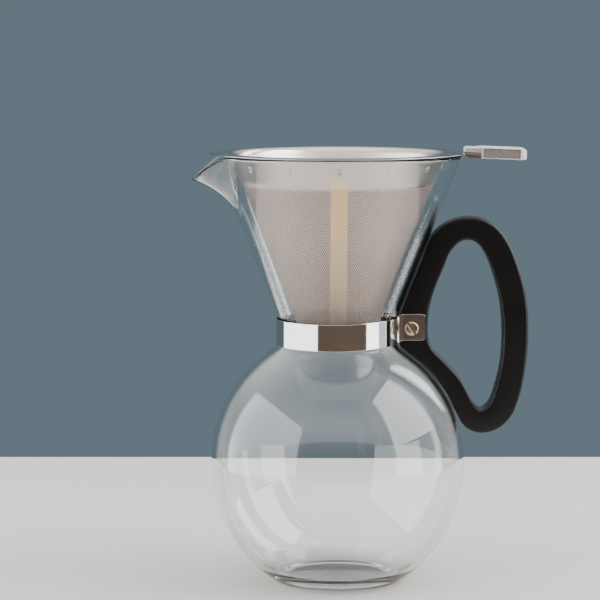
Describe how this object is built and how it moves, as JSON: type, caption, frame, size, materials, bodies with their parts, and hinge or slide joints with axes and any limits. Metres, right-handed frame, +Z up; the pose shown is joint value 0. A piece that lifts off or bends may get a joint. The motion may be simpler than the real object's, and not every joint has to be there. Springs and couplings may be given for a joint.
{
  "type": "pour over dripper",
  "caption": "One-piece glass pour-over carafe with funnel top, spout and round bulb, a steel neck band that clamps a loop handle, and a lift-out double-walled cone filter with a grip.",
  "frame": {"origin": "centre of the flat base, on the surface that the carafe stands on", "axes": "+Z up along the vessel's axis, +X towards the handle, -X towards the spout, -Y towards the clamp screw's head"},
  "size_m": [0.1609, 0.1232, 0.2098],
  "materials": {
    "glass": "clear fire-polished borosilicate",
    "polished_steel": "polished stainless",
    "perforated_steel": "satin stainless sheet with fine holes",
    "woven_mesh": "fine woven stainless mesh",
    "handle_plastic": "matte moulded",
    "grip_plastic": "satin moulded",
    "brass": "turned and plated",
    "zinc_steel": "zinc plated"
  },
  "bodies": {
    "carafe": {"carafe_glass": "glass", "neck_band": "polished_steel", "handle": "handle_plastic", "lock_washer": "zinc_steel", "clamp_nut": "zinc_steel"},
    "screw": {"clamp_screw": "brass"},
    "filter": {"filter_rim": "polished_steel", "filter_outer_cone": "perforated_steel", "filter_inner_mesh": "woven_mesh", "filter_base_cup": "polished_steel", "filter_base_mesh": "woven_mesh", "filter_grip": "grip_plastic"}
  },
  "joints": [
    {"name": "filter_lift", "type": "slide", "parent": "carafe", "child": "filter", "axis": [0, 0, 1], "range_m": [0, 0.1]},
    {"name": "clamp_screw_turn", "type": "hinge", "parent": "carafe", "child": "screw", "pos_m": [0.0352, 0, 0.1233], "axis": [0, 1, 0], "continuous": true}
  ]
}
